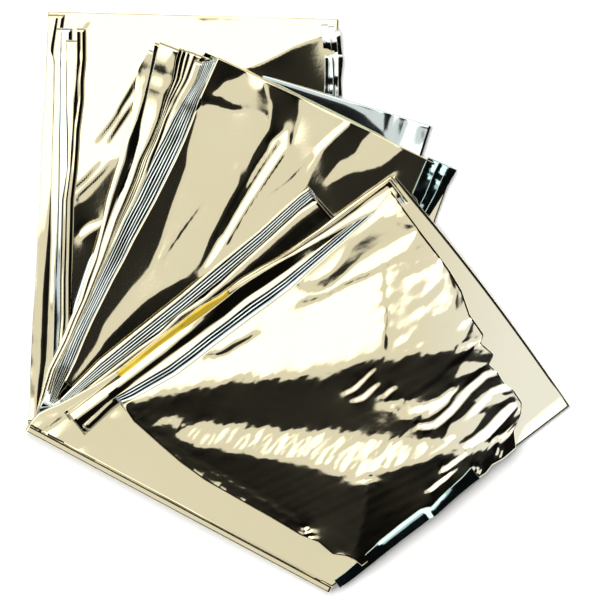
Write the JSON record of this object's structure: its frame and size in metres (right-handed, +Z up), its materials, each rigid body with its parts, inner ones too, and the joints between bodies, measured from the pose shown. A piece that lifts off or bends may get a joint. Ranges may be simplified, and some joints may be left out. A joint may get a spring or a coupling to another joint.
{
  "type": "emergency foil blanket",
  "caption": "Rescue blanket of gold and silver metallised film, pleated and folded back and forth into long leaves that fan about one corner, lying flat.",
  "frame": {"origin": "on the surface the blanket lies on, under the middle of its bounding box", "axes": "+Z up through the layers; +Y along the rear leaf, away from the corner that the leaves share; +X towards the front leaf's far corner"},
  "size_m": [0.2446, 0.2622, 0.0144],
  "materials": {
    "gold_film": "mirror-like pale gold metallised film with fine crinkles; the reverse is silver"
  },
  "bodies": {
    "root": {"foil_sheet": "gold_film"}
  },
  "joints": []
}
